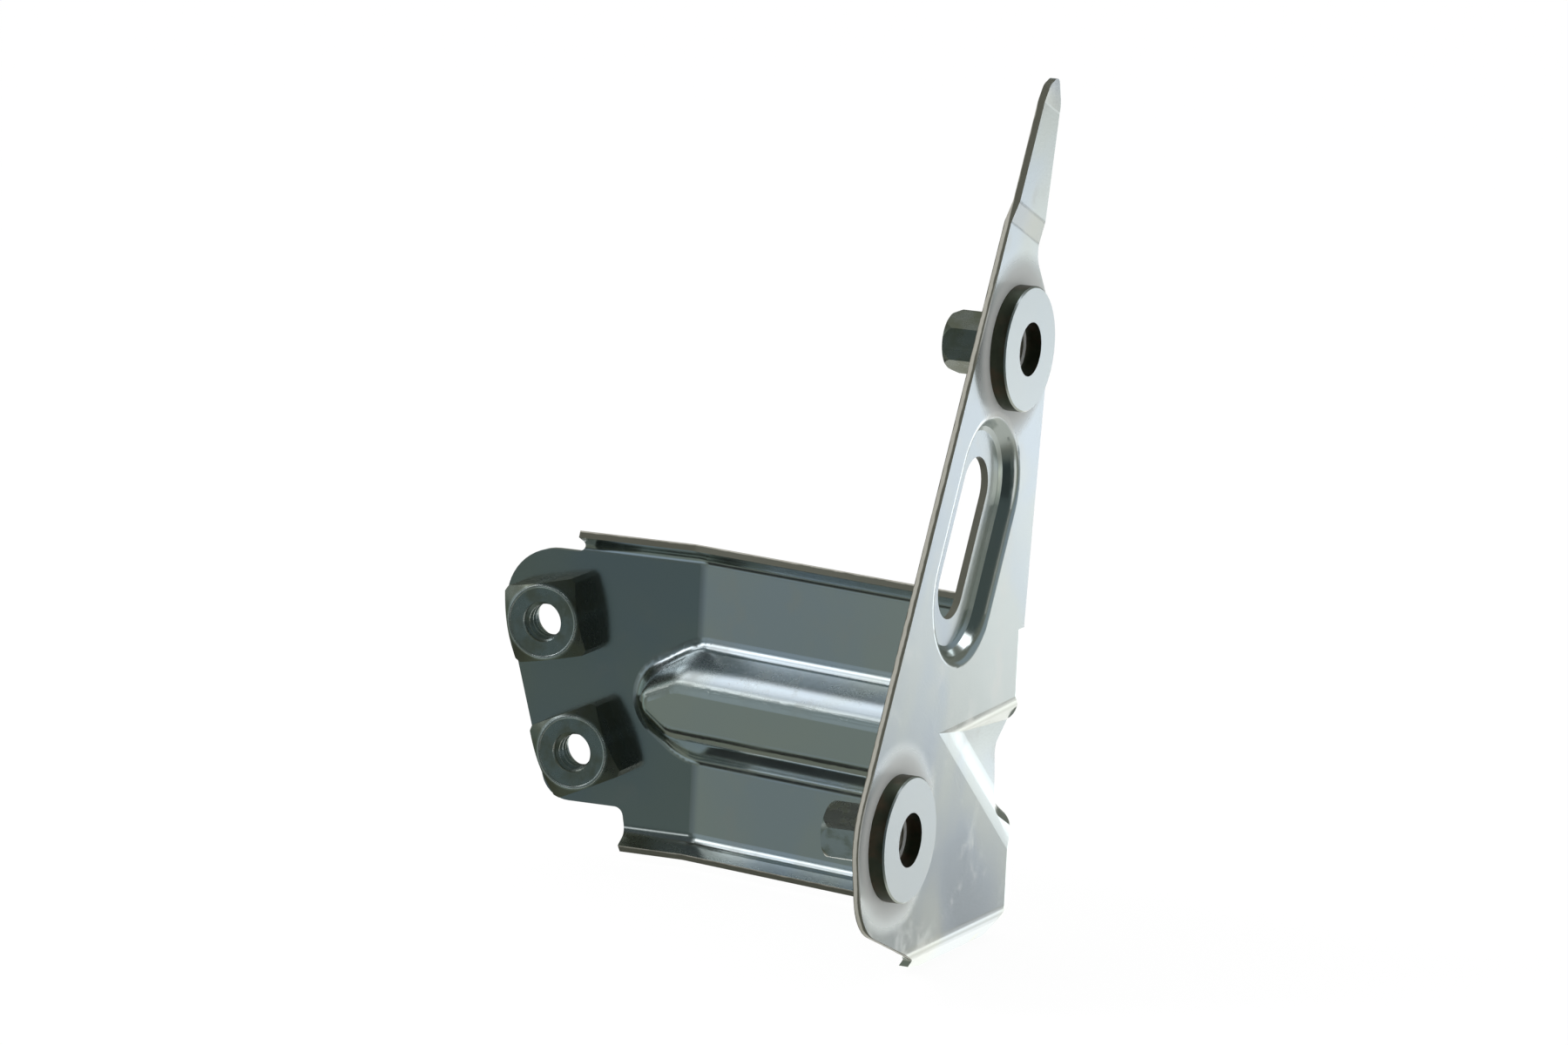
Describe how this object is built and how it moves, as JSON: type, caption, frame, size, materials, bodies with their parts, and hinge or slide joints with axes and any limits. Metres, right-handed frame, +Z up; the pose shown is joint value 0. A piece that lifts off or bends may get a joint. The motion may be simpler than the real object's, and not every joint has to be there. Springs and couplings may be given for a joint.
{
  "type": "fender bracket",
  "caption": "Pressed sheet-steel bracket: a tall side plate with spaced threaded fixings, folded round a ribbed corner into a lipped arm with welded nuts.",
  "frame": {"origin": "on the axis of the lower side thread, at the inner face of the side plate", "axes": "+X along the lower side thread, out of the side plate's outer face; +Z up, towards the narrow tip; +Y from the plate's near edge towards the folded corner"},
  "size_m": [0.1016, 0.0762, 0.1391],
  "materials": {
    "plated_sheet": "bright zinc plate on pressed mild steel",
    "plated_spacer": "bright zinc plate on turned steel",
    "plated_nut": "zinc plate on drawn hexagon steel",
    "plated_weld_nut": "dull zinc plate with weld tint"
  },
  "bodies": {
    "root": {"bracket_pressing": "plated_sheet", "side_spacer_upper": "plated_spacer", "side_spacer_lower": "plated_spacer", "side_nut_upper": "plated_nut", "side_nut_lower": "plated_nut", "arm_nut_upper": "plated_weld_nut", "arm_nut_lower": "plated_weld_nut"}
  },
  "joints": []
}
